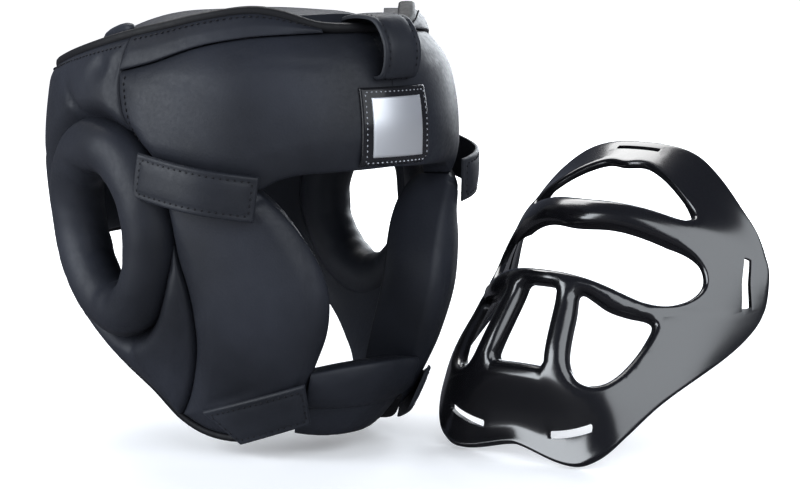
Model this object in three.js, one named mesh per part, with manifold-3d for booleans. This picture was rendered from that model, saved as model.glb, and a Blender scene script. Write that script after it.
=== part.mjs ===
// Sparring headgear with its detached face shield, in millimetres, +Z up.
// The headgear faces -Y and the wearer's right side is -X. The origin is the top of the
// wearer's head, on the underside of the crown pad. Angles go round the head in degrees:
// 0 at the front, 90 at the wearer's right ear, 180 at the back.
import * as THREE from 'three';
import { mergeVertices } from 'three/addons/utils/BufferGeometryUtils.js';
import Module from 'manifold-3d';

const wasm = await Module();
wasm.setup();

// Sizes of the headgear
const height = 240;
const halfWidth = 112;
const frontReach = 133;
const backReach = 136;
const padThickness = 24;
const browThickness = 22;
const jawThickness = 20;
const padRounding = 14;
const edgeDrop = 5;
const seamGap = 0.55;
const clearance = 0.35;
const bindingGap = 1;

// Ear rings: a padded ring that leans with its top to the back
const earRing = {
  centreBack: 12, centreDown: 0.47, reachBack: 34, reachUp: 46, lean: 14, egg: 0.12,
  tube: 16, tubeDepth: 15, inset: 11, flare: 0.2,
};

// Crown pad
const crown = { thickness: 9, inset: 23.5, front: 60, rear: 174, fullness: 3.5, rollRadius: 4.5 };

// Bindings, tabs and patch
const bindingWidth = 5;
const bindingThickness = 3.4;
const bindingCorners = 44;
const rimInset = 6;
const lowerInset = 9;
const tabWidth = 25;
const tabThickness = 2.4;
const tabOffset = 1.6;
const templeLift = { loose: 6, sewn: 4.4 };
const chinLift = 3;
const patchWidth = 46;
const patchHeight = 43;
const patchThickness = 1.8;
const patchDown = 0.2125;

// Face shield
const shield = {
  halfWidth: 95, depth: 129, rise: 160, wall: 3.2, barWall: 6.5, slotLength: 30, slotWidth: 3.4, lobe: 8,
};
const shieldPlace = { x: 186, y: -138.6, z: -142.4, turn: -80 };

const colours = {
  leather: { color: 0x2b2d36, roughness: 0.55, metalness: 0 },
  binding: { color: 0x16171b, roughness: 0.5, metalness: 0 },
  patch: { color: 0xb9bcc4, roughness: 0.3, metalness: 0.4 },
  shell: { color: 0x08080a, roughness: 0.12, metalness: 0 },
};

const mmPerDegree = Math.PI * (halfWidth + frontReach) / 360;
const radians = Math.PI / 180;
const clamp01 = (value) => Math.min(Math.max(value, 0), 1);

// The head form: half widths and reaches as shares, by share of the height below the origin
const headForm = [
  { down: -0.08, width: 0.72, front: 0.78, back: 0.72 },
  { down: -0.01, width: 0.83, front: 0.86, back: 0.82 },
  { down: 0.08, width: 0.94, front: 0.95, back: 0.93 },
  { down: 0.19, width: 0.99, front: 1.0, back: 0.98 },
  { down: 0.31, width: 1.0, front: 1.0, back: 1.0 },
  { down: 0.44, width: 0.985, front: 1.0, back: 0.985 },
  { down: 0.60, width: 0.94, front: 1.005, back: 0.92 },
  { down: 0.73, width: 0.86, front: 0.945, back: 0.83 },
  { down: 0.83, width: 0.765, front: 0.87, back: 0.73 },
  { down: 0.97, width: 0.64, front: 0.76, back: 0.62 },
];

// Smooth value of one column between the rows of a table
function lookup(table, key, column, at) {
  const last = table.length - 1;
  let k = 0;
  while (k < last - 1 && at > table[k + 1][key]) k += 1;
  const slope = (i) => {
    const a = table[Math.max(i - 1, 0)];
    const b = table[Math.min(i + 1, last)];
    return (b[column] - a[column]) / (b[key] - a[key]);
  };
  const span = table[k + 1][key] - table[k][key];
  const t = clamp01((at - table[k][key]) / span);
  const t2 = t * t;
  const t3 = t2 * t;
  return (2 * t3 - 3 * t2 + 1) * table[k][column] + (t3 - 2 * t2 + t) * span * slope(k)
    + (3 * t2 - 2 * t3) * table[k + 1][column] + (t3 - t2) * span * slope(k + 1);
}

// A point on the head form, moved outward by an offset
function onHead(angle, z, offset) {
  const down = -z / height;
  const cos = Math.cos(angle * radians);
  const sin = Math.sin(angle * radians);
  const a = halfWidth * lookup(headForm, 'down', 'width', down);
  const b = cos > 0 ? frontReach * lookup(headForm, 'down', 'front', down)
    : backReach * lookup(headForm, 'down', 'back', down);
  const normal = new THREE.Vector2(-sin / a, -cos / b).normalize();
  return new THREE.Vector3(-a * sin + normal.x * offset, -b * cos + normal.y * offset, z);
}

// Half width of the head form beside the point at depth y and height z
function sideAt(y, z) {
  const down = -z / height;
  const reach = y < 0 ? frontReach * lookup(headForm, 'down', 'front', down)
    : backReach * lookup(headForm, 'down', 'back', down);
  return halfWidth * lookup(headForm, 'down', 'width', down) * Math.sqrt(Math.max(1 - (y / reach) ** 2, 0.05));
}

// Seams and edges of the wearer's right half, from { angle, share of the height below the origin }
function seam(rows) {
  return new THREE.SplineCurve(rows.map(([angle, down]) => (
    new THREE.Vector2(angle * mmPerDegree, -down * height))));
}

const rimLine = [[0, -0.002], [20, -0.006], [38, -0.034], [50, -0.041], [64, -0.026], [76, -0.005], [87, 0.014]];
const rimBack = [[87, 0.014], [96, 0.032], [108, 0.058], [122, 0.088], [137, 0.110], [154, 0.121]];
const browTop = [[0, 0], [20, 0.003], [38, 0.008], [51, 0.016], [64, 0.036], [77, 0.073], [87, 0.094]];
const stripFront = [[20, -0.006], [20, 0.003]];
const stripTop = rimLine.slice(1);
const stripBottom = browTop.slice(1);
const stripRear = [[87, 0.014], [87, 0.094]];
const browSeam = [[87, 0.094], [86, 0.14], [83.5, 0.21], [81, 0.283]];
const browBottom = [[0, 0.308], [21, 0.314], [31, 0.318], [39, 0.33], [46, 0.352], [56, 0.342], [68, 0.315], [81, 0.283]];
const cheekTop = browBottom.slice(4);
const cheekFront = [[46, 0.352], [39, 0.395], [32, 0.45], [26.5, 0.51], [23.3, 0.57], [22.3, 0.63], [23, 0.69],
  [26, 0.75], [29.5, 0.81], [31.5, 0.87]];
const cheekRear = [[81, 0.283], [73, 0.42], [68.5, 0.56], [67.5, 0.66], [69, 0.75], [75, 0.85], [81, 0.908]];
const cheekBottom = [[31.5, 0.87], [42, 0.915], [56, 0.945], [70, 0.942], [81, 0.908]];
const sideFront = [...stripRear, ...browSeam.slice(1), ...cheekRear.slice(1)];
const sideBottom = [[81, 0.908], [90, 0.84], [102, 0.775], [114, 0.705], [126, 0.625], [139, 0.562], [154, 0.54]];
const backSeam = [[154, 0.121], [154, 0.3], [154, 0.54]];
const backTop = [[154, 0.121], [180, 0.126], [206, 0.121]];
const backBottom = [[154, 0.54], [180, 0.535], [206, 0.54]];
const backFar = [[206, 0.121], [206, 0.3], [206, 0.54]];

// A closed body between an outer and an inner grid of points
function gridSolid(across, along, outer, inner) {
  const columns = across.length;
  const rows = along.length;
  const positions = [];
  const index = [];
  for (const side of [outer, inner]) {
    for (const j of along) {
      for (const i of across) positions.push(...side(i, j).toArray());
    }
  }
  const at = (side, i, j) => side * columns * rows + j * columns + i;
  const quad = (a, b, c, d) => index.push(a, b, c, a, c, d);
  for (let j = 0; j < rows - 1; j += 1) {
    for (let i = 0; i < columns - 1; i += 1) {
      quad(at(0, i, j), at(0, i, j + 1), at(0, i + 1, j + 1), at(0, i + 1, j));
      quad(at(1, i, j), at(1, i + 1, j), at(1, i + 1, j + 1), at(1, i, j + 1));
    }
  }
  for (let i = 0; i < columns - 1; i += 1) {
    quad(at(0, i, 0), at(0, i + 1, 0), at(1, i + 1, 0), at(1, i, 0));
    quad(at(0, i, rows - 1), at(1, i, rows - 1), at(1, i + 1, rows - 1), at(0, i + 1, rows - 1));
  }
  for (let j = 0; j < rows - 1; j += 1) {
    quad(at(0, 0, j), at(1, 0, j), at(1, 0, j + 1), at(0, 0, j + 1));
    quad(at(0, columns - 1, j), at(0, columns - 1, j + 1), at(1, columns - 1, j + 1), at(1, columns - 1, j));
  }
  return closedGeometry(positions, index);
}

// A ring of sections, each a loop of points, closed on itself
function ringSolid(sections, sides, point) {
  const positions = [];
  const index = [];
  for (let k = 0; k < sections; k += 1) {
    for (let s = 0; s < sides; s += 1) positions.push(...point(k / sections, s / sides).toArray());
  }
  for (let k = 0; k < sections; k += 1) {
    const next = (k + 1) % sections;
    for (let s = 0; s < sides; s += 1) {
      const beside = (s + 1) % sides;
      index.push(k * sides + s, next * sides + s, next * sides + beside);
      index.push(k * sides + s, next * sides + beside, k * sides + beside);
    }
  }
  return closedGeometry(positions, index);
}

// Geometry with its faces turned outward
function closedGeometry(positions, index) {
  const geometry = new THREE.BufferGeometry();
  geometry.setAttribute('position', new THREE.Float32BufferAttribute(positions, 3));
  geometry.setIndex(signedVolume(positions, index) < 0 ? turned(index) : index);
  return geometry;
}

function signedVolume(positions, index) {
  const corner = (k) => new THREE.Vector3().fromArray(positions, index[k] * 3);
  let sum = 0;
  for (let k = 0; k < index.length; k += 3) sum += corner(k).dot(corner(k + 1).cross(corner(k + 2)));
  return sum / 6;
}

function turned(index) {
  const flipped = [];
  for (let k = 0; k < index.length; k += 3) flipped.push(index[k], index[k + 2], index[k + 1]);
  return flipped;
}

// The same piece on the wearer's left
function mirrored(geometry) {
  const copy = geometry.clone();
  copy.scale(-1, 1, 1);
  copy.setIndex(turned(Array.from(copy.index.array)));
  return copy;
}

// Cutting with closed bodies
function toSolid(geometry) {
  const bare = geometry.clone();
  bare.deleteAttribute('normal');
  bare.deleteAttribute('uv');
  const merged = mergeVertices(bare, 1e-4);
  return new wasm.Manifold(new wasm.Mesh({
    numProp: 3,
    vertProperties: new Float32Array(merged.attributes.position.array),
    triVerts: new Uint32Array(merged.index.array),
  }));
}

function toGeometry(solid) {
  const mesh = solid.getMesh();
  const geometry = new THREE.BufferGeometry();
  geometry.setAttribute('position', new THREE.Float32BufferAttribute(Array.from(mesh.vertProperties), 3));
  geometry.setIndex(Array.from(mesh.triVerts));
  return geometry;
}

function cut(geometry, cutters) {
  let solid = toSolid(geometry);
  for (const cutter of cutters) solid = solid.subtract(toSolid(cutter));
  return toGeometry(solid);
}

// Steps from 0 to 1, closer together near both ends
function eased(count) {
  return Array.from({ length: count + 1 }, (_, k) => 0.5 - 0.5 * Math.cos(Math.PI * k / count));
}

function even(count) {
  return Array.from({ length: count + 1 }, (_, k) => k / count);
}

// A padded panel on the head form between four seams
function pad({
  top, bottom, front, rear, columns, rows, thickness, drop = edgeDrop, gap = seamGap, flatFront = false,
  flatRear = false,
}) {
  const edges = [top, bottom, front, rear].map(seam);
  const lengths = edges.map((edge) => edge.getLength());
  const acrossLength = Math.max((lengths[0] + lengths[1]) / 2, 1);
  const alongLength = Math.max((lengths[2] + lengths[3]) / 2, 1);
  const place = (i, j) => {
    const u = (gap + i * (acrossLength - 2 * gap)) / acrossLength;
    const v = (gap + j * (alongLength - 2 * gap)) / alongLength;
    const [t, b, f, r] = edges;
    const p = t.getPointAt(u).multiplyScalar(1 - v).add(b.getPointAt(u).multiplyScalar(v));
    p.add(f.getPointAt(v).multiplyScalar(1 - u)).add(r.getPointAt(v).multiplyScalar(u));
    p.sub(t.getPointAt(0).multiplyScalar((1 - u) * (1 - v))).sub(t.getPointAt(1).multiplyScalar(u * (1 - v)));
    p.sub(b.getPointAt(0).multiplyScalar((1 - u) * v)).sub(b.getPointAt(1).multiplyScalar(u * v));
    return p;
  };
  const puff = (i, j) => {
    const near = [j * alongLength, (1 - j) * alongLength];
    if (!flatFront) near.push(i * acrossLength);
    if (!flatRear) near.push((1 - i) * acrossLength);
    return near.reduce((sum, d) => Math.max(sum, (1 - clamp01(d / padRounding)) ** 2), 0);
  };
  const point = (offset) => (i, j) => {
    const p = place(i, j);
    return onHead(p.x / mmPerDegree, p.y, offset(i, j));
  };
  return gridSolid(eased(columns), eased(rows), point((i, j) => -drop * puff(i, j)), point(() => -thickness));
}

// Ear ring: the line through the middle of its tube, and the outline that it fills
function ringOutline(turn, grow) {
  const angle = turn * 2 * Math.PI;
  const narrow = 1 + earRing.egg * Math.sin(angle);
  const y0 = (earRing.reachBack + grow) * Math.cos(angle) * narrow;
  const z0 = (earRing.reachUp + grow) * Math.sin(angle);
  const lean = earRing.lean * radians;
  return new THREE.Vector2(
    earRing.centreBack + y0 * Math.cos(lean) + z0 * Math.sin(lean),
    -earRing.centreDown * height + z0 * Math.cos(lean) - y0 * Math.sin(lean),
  );
}

function earRingSolid() {
  const sections = 26;
  const sides = 10;
  return ringSolid(sections, sides, (k, s) => {
    const turn = s * 2 * Math.PI;
    const p = ringOutline(k, earRing.tube * Math.cos(turn));
    const middle = ringOutline(k, 0);
    const flare = earRing.flare * (middle.x - earRing.centreBack);
    const x = -(sideAt(middle.x, middle.y) - earRing.inset - flare) - earRing.tubeDepth * Math.sin(turn);
    return new THREE.Vector3(x, p.x, p.y);
  });
}

// The hole that the ear ring sits in, straight through the side of the headgear
function earCutter() {
  const corners = 52;
  return gridSolidFromOutline(corners, (k) => ringOutline(k, earRing.tube + seamGap), -halfWidth * 0.35, -halfWidth * 1.3);
}

function gridSolidFromOutline(corners, outline, x0, x1) {
  const points = even(corners).slice(0, corners).map(outline);
  const shape = new THREE.Shape(points);
  const geometry = new THREE.ExtrudeGeometry(shape, { depth: x0 - x1, bevelEnabled: false, steps: 1 });
  const frame = new THREE.Matrix4().makeBasis(
    new THREE.Vector3(0, 1, 0), new THREE.Vector3(0, 0, 1), new THREE.Vector3(1, 0, 0));
  geometry.applyMatrix4(frame.setPosition(x1, 0, 0));
  return geometry;
}

// A flat strip that follows the head form between two places
function strap({ from, to, width, offset, lift, columns = 8, rows = 2, thickness = tabThickness }) {
  const start = new THREE.Vector2(from[0] * mmPerDegree, -from[1] * height);
  const end = new THREE.Vector2(to[0] * mmPerDegree, -to[1] * height);
  const run = end.clone().sub(start);
  const side = new THREE.Vector2(-run.y, run.x).normalize().multiplyScalar(width / 2);
  const point = (extra) => (i, j) => {
    const p = start.clone().addScaledVector(run, i).addScaledVector(side, 2 * j - 1);
    return onHead(p.x / mmPerDegree, p.y, offset + lift(i, j) + extra);
  };
  return gridSolid(even(columns), even(rows), point(thickness), point(0));
}

// A bound edge: a narrow band of rectangular section that follows a seam line
function binding({ rows, count, above, offset, closed }) {
  const line = seam(rows);
  const corner = [[1, 1], [-1, 1], [-1, -1], [1, -1]];
  const sections = [];
  for (let k = 0; k < (closed ? count : count + 1); k += 1) {
    const p = line.getPointAt(k / count);
    sections.push(corner.map(([a, b]) => onHead(p.x / mmPerDegree, p.y + above + b * bindingThickness / 2,
      offset + a * bindingWidth / 2)));
  }
  return tubeOfSections(sections, closed);
}

// A tube through loops of points: closed on itself, or with flat ends
function tubeOfSections(sections, closed) {
  const sides = sections[0].length;
  const positions = sections.flat().flatMap((p) => p.toArray());
  const index = [];
  const loops = closed ? sections.length : sections.length - 1;
  for (let k = 0; k < loops; k += 1) {
    const next = (k + 1) % sections.length;
    for (let s = 0; s < sides; s += 1) {
      const beside = (s + 1) % sides;
      index.push(k * sides + s, next * sides + s, next * sides + beside);
      index.push(k * sides + s, next * sides + beside, k * sides + beside);
    }
  }
  if (!closed) {
    const last = (sections.length - 1) * sides;
    for (let s = 1; s < sides - 1; s += 1) {
      index.push(0, s, s + 1);
      index.push(last, last + s + 1, last + s);
    }
  }
  return closedGeometry(positions, index);
}

// Crown pad: a dome that fills the top from the back to in front of the middle. Each row joins
// the two sides at an angle; edge and middle are heights above the origin, as shares of the height.
const crownRows = [
  { angle: 60, edge: 0.010, middle: 0.034 },
  { angle: 83, edge: -0.028, middle: 0.0375 },
  { angle: 104, edge: -0.070, middle: 0.030 },
  { angle: 125, edge: -0.105, middle: 0.002 },
  { angle: 145, edge: -0.130, middle: -0.060 },
  { angle: 174, edge: -0.138, middle: -0.120 },
];

function onCrown(i, j) {
  const angle = crown.front + (crown.rear - crown.front) * j;
  const edge = height * lookup(crownRows, 'angle', 'edge', angle);
  const middle = height * lookup(crownRows, 'angle', 'middle', angle);
  const side = onHead(angle, edge, -crown.inset);
  const across = 2 * i - 1;
  return new THREE.Vector3(-across * side.x, side.y, middle + (edge - middle) * Math.abs(across) ** crown.fullness);
}

function crownPad() {
  const below = (i, j) => onCrown(i, j).setZ(onCrown(i, j).z - crown.thickness);
  return gridSolid(eased(8), even(10), onCrown, below);
}

// Roll along the crown's side and rear edges, on [across, along] of the crown pad
const rollRoute = [[0.1, 0.4], [0.1, 0.58], [0.13, 0.72], [0.26, 0.83], [0.5, 0.87]];

function crownRoll() {
  const lift = new THREE.Vector3(0, 0, crown.rollRadius * 1.3 + clearance);
  const half = rollRoute.map(([i, j]) => onCrown(i, j).add(lift));
  const other = half.slice(0, -1).reverse().map((p) => new THREE.Vector3(-p.x, p.y, p.z));
  const path = new THREE.CatmullRomCurve3([...half, ...other]);
  const section = new THREE.Shape();
  section.absarc(0, 0, crown.rollRadius, 0, 2 * Math.PI);
  return new THREE.ExtrudeGeometry(section, { extrudePath: path, steps: 24, curveSegments: 4, bevelEnabled: false });
}

// Chin pad across the front and the flap below it
const chinTop = [[-28.2, 0.79], [-14, 0.768], [0, 0.762], [14, 0.768], [28.2, 0.79]];
const chinBottom = [[-30.8, 0.868], [-14, 0.872], [0, 0.874], [14, 0.872], [30.8, 0.868]];
const chinNear = [[-28.2, 0.79], [-30.1, 0.83], [-30.8, 0.868]];
const chinFar = [[28.2, 0.79], [30.1, 0.83], [30.8, 0.868]];
const flap = { angle: 31, top: 0.882, bottom: 0.962, topInset: 3, bottomInset: 12, thickness: 6 };

function chinFlap() {
  const point = (inward) => (i, j) => {
    const down = flap.top + (flap.bottom - flap.top) * j * (1 - 0.3 * Math.abs(2 * i - 1) ** 3);
    return onHead(flap.angle * (2 * i - 1), -down * height,
      -flap.topInset - (flap.bottomInset - flap.topInset) * j - inward);
  };
  return gridSolid(even(8), even(2), point(0), point(flap.thickness));
}

// Forehead tab: it comes out of the hollow, goes over the rim and stands proud of the brow
const foreheadRoute = [
  { reach: 0.66, down: 0.03 }, { reach: 0.685, down: -0.02 }, { reach: 0.78, down: -0.047 },
  { reach: 0.9, down: -0.034 }, { reach: 0.99, down: 0.012 }, { reach: 1.02, down: 0.06 },
  { reach: 1.003, down: 0.092 }, { reach: 0.963, down: 0.1 },
];

function foreheadTab() {
  const path = new THREE.SplineCurve(foreheadRoute.map((row) => (
    new THREE.Vector2(-row.reach * frontReach, -row.down * height))));
  const point = (out) => (i, j) => {
    const p = path.getPointAt(j);
    const along = path.getTangentAt(j);
    return new THREE.Vector3((i - 0.5) * tabWidth, p.x - along.y * out, p.y + along.x * out);
  };
  return gridSolid(even(2), even(16), point(0), point(-tabThickness));
}

// Face shield: rows from the forehead edge to the chin edge. Each row leaves the middle at
// forward and up, as shares of the depth and the rise, and sweeps back to the wing.
const shieldRows = [
  { row: 0.00, forward: 0.000, up: 0.453, wingForward: -0.016, wingUp: 0.075, power: 2.60 },
  { row: 0.10, forward: 0.147, up: 0.388, wingForward: -0.016, wingUp: 0.056, power: 2.35 },
  { row: 0.34, forward: 0.470, up: 0.283, wingForward: -0.008, wingUp: 0.019, power: 2.10 },
  { row: 0.43, forward: 0.550, up: 0.212, wingForward: 0.000, wingUp: 0.000, power: 2.10 },
  { row: 0.58, forward: 0.814, up: 0.053, wingForward: 0.008, wingUp: -0.050, power: 2.10 },
  { row: 0.63, forward: 0.814, up: 0.008, wingForward: 0.016, wingUp: -0.069, power: 2.20 },
  { row: 0.82, forward: 1.000, up: -0.263, wingForward: 0.039, wingUp: -0.138, power: 2.90 },
  { row: 0.93, forward: 0.953, up: -0.456, wingForward: 0.062, wingUp: -0.181, power: 5.50 },
  { row: 1.00, forward: 0.992, up: -0.547, wingForward: 0.085, wingUp: -0.212, power: 6.00 },
];

// A point on the shield: side from -1 to 1 across, row from 0 to 1 down
function onShieldSkin(side, row) {
  const value = (column) => lookup(shieldRows, 'row', column, row);
  const sweep = Math.abs(side) ** value('power');
  const forward = shield.depth * (value('forward') + (value('wingForward') - value('forward')) * sweep);
  const up = shield.rise * (value('up') + (value('wingUp') - value('up')) * sweep);
  const lobe = shield.lobe * Math.sin(Math.PI * clamp01(Math.abs(side) / 0.9)) ** 1.5;
  return new THREE.Vector3(shield.halfWidth * side, -forward, up - lobe * clamp01((row - 0.8) / 0.2) ** 2);
}

function onShield(side, row, inward) {
  const step = 0.004;
  const across = onShieldSkin(side + step, row).sub(onShieldSkin(side - step, row));
  const along = onShieldSkin(side, Math.min(row + step, 1)).sub(onShieldSkin(side, Math.max(row - step, 0)));
  const normal = across.cross(along).normalize();
  return onShieldSkin(side, row).addScaledVector(normal, inward);
}

// Outlines on the shield as [side, row]: the right half of what is symmetric
const shieldEdge = {
  top: [[0, 0], [0.37, 0], [0.547, 0.018], [0.67, 0.038], [0.758, 0.06], [0.848, 0.09], [0.9, 0.16], [0.927, 0.245],
    [0.95, 0.35], [0.965, 0.48]],
  bottom: [[0.973, 0.66], [0.972, 0.76], [0.963, 0.87], [0.93, 0.918], [0.87, 0.926], [0.802, 0.935], [0.723, 0.96],
    [0.63, 0.983], [0.54, 0.993], [0.42, 1], [0, 1]],
};
const foreheadOpening = {
  top: [[0, 0.112], [0.1, 0.1], [0.18, 0.105], [0.343, 0.14], [0.495, 0.195], [0.59, 0.245]],
  bottom: [[0.597, 0.268], [0.56, 0.295], [0.302, 0.31], [0.125, 0.323], [0, 0.328]],
};
const eyeOpening = {
  top: [[0, 0.432], [0.247, 0.42], [0.432, 0.425], [0.6, 0.441], [0.69, 0.462], [0.748, 0.51]],
  bottom: [[0.775, 0.585], [0.758, 0.655], [0.713, 0.685], [0.64, 0.673], [0.517, 0.64], [0.378, 0.6],
    [0.205, 0.578], [0, 0.574]],
};
const mouthOpening = [[0.122, 0.628], [0.19, 0.82], [-0.19, 0.82], [-0.122, 0.628]];
const sideOpening = [[0.275, 0.64], [0.46, 0.683], [0.645, 0.723], [0.655, 0.765], [0.645, 0.81], [0.61, 0.845],
  [0.55, 0.855], [0.49, 0.855], [0.405, 0.84], [0.352, 0.812], [0.318, 0.753], [0.295, 0.69]];
const chinSlot = { side: 0.38, row: 0.94, run: 0.29, rise: -0.025 };
const foreheadSlot = { side: 0, row: 0.034 };
const wingSlot = { top: [0.868, 0.38], bottom: [0.917, 0.708] };

// The shield is cut flat, in units that are near to millimetres, and then bent to its skin
const flat = { across: 100, down: 180, thick: 8, facet: 13 };

function mirrorOutline({ top, bottom }) {
  const half = [...top, ...bottom];
  const other = half.slice(1, -1).reverse().map(([side, row]) => [-side, row]);
  return [...half, ...other];
}

function flatPrism(outline) {
  const points = outline.map(([side, row]) => new THREE.Vector2(side * flat.across, -row * flat.down));
  const geometry = new THREE.ExtrudeGeometry(new THREE.Shape(points), { depth: flat.thick * 2, bevelEnabled: false });
  return geometry.translate(0, 0, -flat.thick / 2);
}

function slotOutline(side, row, alongSide, alongRow, width) {
  const length = Math.hypot(alongSide * flat.across, alongRow * flat.down);
  const acrossSide = -alongRow * flat.down / length * width / flat.across;
  const acrossRow = alongSide * flat.across / length * width / flat.down;
  return [[-1, -1], [1, -1], [1, 1], [-1, 1]].map(([a, b]) => [
    side + (a * alongSide + b * acrossSide) / 2, row + (a * alongRow + b * acrossRow) / 2]);
}

function faceShield() {
  const slab = new THREE.BoxGeometry(2 * flat.across, flat.down * 1.1, flat.thick, 10, 9, 1);
  slab.translate(0, -flat.down / 2, flat.thick / 2);
  const long = shield.slotLength / shield.halfWidth;
  const slots = [
    slotOutline(foreheadSlot.side, foreheadSlot.row, long, 0, shield.slotWidth),
    slotOutline((wingSlot.top[0] + wingSlot.bottom[0]) / 2, (wingSlot.top[1] + wingSlot.bottom[1]) / 2,
      wingSlot.bottom[0] - wingSlot.top[0], wingSlot.bottom[1] - wingSlot.top[1], shield.slotWidth),
    slotOutline(chinSlot.side, chinSlot.row, chinSlot.run, chinSlot.rise, shield.slotWidth),
  ];
  const opposite = (outline) => outline.map(([side, row]) => [-side, row]);
  const holes = [mirrorOutline(foreheadOpening), mirrorOutline(eyeOpening), mouthOpening, sideOpening,
    opposite(sideOpening), ...slots, opposite(slots[1]), opposite(slots[2])];
  let solid = toSolid(slab).intersect(toSolid(flatPrism(mirrorOutline(shieldEdge))));
  for (const hole of holes) solid = solid.subtract(toSolid(flatPrism(hole)));
  const geometry = toGeometry(solid.refineToLength(flat.facet));
  const place = geometry.attributes.position;
  for (let k = 0; k < place.count; k += 1) {
    const side = place.getX(k) / flat.across;
    const row = clamp01(-place.getY(k) / flat.down);
    const bars = clamp01((0.7 - Math.abs(side)) / 0.15) * clamp01((row - 0.2) / 0.1) * clamp01((0.92 - row) / 0.06);
    const wall = shield.wall + (shield.barWall - shield.wall) * bars;
    place.setXYZ(k, ...onShield(side, row, wall * (1 - place.getZ(k) / flat.thick)).toArray());
  }
  const positions = Array.from(place.array);
  return closedGeometry(positions, Array.from(geometry.index.array));
}

const pieces = [];
function piece(name, geometry, look) {
  pieces.push({ name, geometry, look });
}

function pair(name, geometry, look) {
  piece(`${name}_right`, geometry, look);
  piece(`${name}_left`, mirrored(geometry), look);
}

const ear = earCutter();
const brow = pad({
  top: browTop, bottom: browBottom, front: [[0, 0], [0, 0.308]], rear: browSeam,
  columns: 14, rows: 7, thickness: browThickness, flatFront: true,
});
pair('brow_pad', cut(brow, [ear]), colours.leather);
pair('upper_strip', pad({
  top: stripTop, bottom: stripBottom, front: stripFront, rear: stripRear,
  columns: 8, rows: 3, thickness: browThickness, drop: 2,
}), colours.leather);
pair('cheek_pad', cut(pad({
  top: cheekTop, bottom: cheekBottom, front: cheekFront, rear: cheekRear,
  columns: 8, rows: 12, thickness: padThickness, drop: 7,
}), [ear]), colours.leather);
pair('side_panel', cut(pad({
  top: rimBack, bottom: sideBottom, front: sideFront, rear: backSeam,
  columns: 10, rows: 10, thickness: jawThickness, drop: 4, gap: 1.1,
}), [ear]), colours.leather);
piece('back_panel', pad({
  top: backTop, bottom: backBottom, front: backSeam, rear: backFar,
  columns: 10, rows: 5, thickness: jawThickness, drop: 4,
}), colours.leather);
pair('ear_ring', earRingSolid(), colours.leather);
piece('chin_pad', pad({
  top: chinTop, bottom: chinBottom, front: chinNear, rear: chinFar,
  columns: 8, rows: 4, thickness: jawThickness, drop: 4, flatFront: true, flatRear: true,
}), colours.leather);
piece('chin_flap', chinFlap(), colours.leather);
piece('crown_pad', crownPad(), colours.leather);
piece('crown_roll', crownRoll(), colours.leather);

const roundBack = (rows) => rows.slice(0, -1).reverse().map(([angle, down]) => [360 - angle, down]);
const topLoop = [...rimLine, ...rimBack.slice(1), backTop[1]];
piece('rim_binding', binding({
  rows: [...topLoop, ...roundBack(topLoop)], count: bindingCorners,
  above: bindingThickness / 2 + bindingGap - seamGap, offset: -rimInset, closed: true,
}), colours.binding);
const lowLoop = [...cheekBottom, ...sideBottom.slice(1), backBottom[1]];
piece('lower_binding', binding({
  rows: [...lowLoop, ...roundBack(lowLoop)], count: bindingCorners,
  above: -bindingThickness / 2 - bindingGap + seamGap, offset: -lowerInset, closed: false,
}), colours.binding);

pair('temple_tab', strap({
  from: [76.5, 0.322], to: [45.5, 0.368], width: tabWidth, offset: tabOffset,
  lift: (i) => templeLift.loose * i ** 2 + templeLift.sewn * (1 - i) ** 2,
}), colours.leather);
pair('chin_tab', strap({
  from: [63, 0.93], to: [32, 0.845], width: tabWidth, offset: clearance, lift: (i) => chinLift * i ** 2,
}), colours.leather);
piece('forehead_tab', foreheadTab(), colours.leather);
const patchAngle = Math.asin(patchWidth / 2 / halfWidth) / radians;
piece('brow_patch', strap({
  from: [-patchAngle, patchDown], to: [patchAngle, patchDown], width: patchHeight, offset: clearance,
  lift: () => 0, columns: 6, rows: 4, thickness: patchThickness,
}), colours.patch);

const group = new THREE.Group();
for (const { name, geometry, look } of pieces) {
  const mesh = new THREE.Mesh(geometry, new THREE.MeshStandardMaterial(look));
  mesh.name = name;
  group.add(mesh);
}
const detached = new THREE.Mesh(faceShield(), new THREE.MeshStandardMaterial(colours.shell));
detached.name = 'face_shield';
detached.position.set(shieldPlace.x, shieldPlace.y, shieldPlace.z);
detached.rotation.z = shieldPlace.turn * radians;
group.add(detached);

export default group;
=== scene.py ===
import math

import bpy
import numpy as np
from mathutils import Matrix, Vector, noise
from mathutils.geometry import delaunay_2d_cdt


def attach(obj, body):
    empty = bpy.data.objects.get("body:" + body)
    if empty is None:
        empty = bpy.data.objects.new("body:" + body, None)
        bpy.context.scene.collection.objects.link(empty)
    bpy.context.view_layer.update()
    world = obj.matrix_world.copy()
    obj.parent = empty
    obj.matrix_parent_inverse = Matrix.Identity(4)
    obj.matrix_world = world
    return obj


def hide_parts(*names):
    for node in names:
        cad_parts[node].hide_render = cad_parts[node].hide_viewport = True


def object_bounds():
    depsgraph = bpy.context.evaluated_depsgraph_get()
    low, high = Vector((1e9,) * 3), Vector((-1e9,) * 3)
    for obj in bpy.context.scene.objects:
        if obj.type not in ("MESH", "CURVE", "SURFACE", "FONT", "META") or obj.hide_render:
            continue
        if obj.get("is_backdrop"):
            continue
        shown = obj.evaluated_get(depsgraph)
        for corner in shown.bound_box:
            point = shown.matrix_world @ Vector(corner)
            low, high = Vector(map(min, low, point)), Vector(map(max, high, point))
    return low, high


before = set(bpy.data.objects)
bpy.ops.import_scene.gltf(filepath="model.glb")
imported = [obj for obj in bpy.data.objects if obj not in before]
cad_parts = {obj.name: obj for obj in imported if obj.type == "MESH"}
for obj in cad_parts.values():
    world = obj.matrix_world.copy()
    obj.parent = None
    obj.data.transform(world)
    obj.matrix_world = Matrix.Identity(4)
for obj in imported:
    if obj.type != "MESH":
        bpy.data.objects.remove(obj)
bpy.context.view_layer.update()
MM = 0.001
RAD = math.pi / 180

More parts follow.
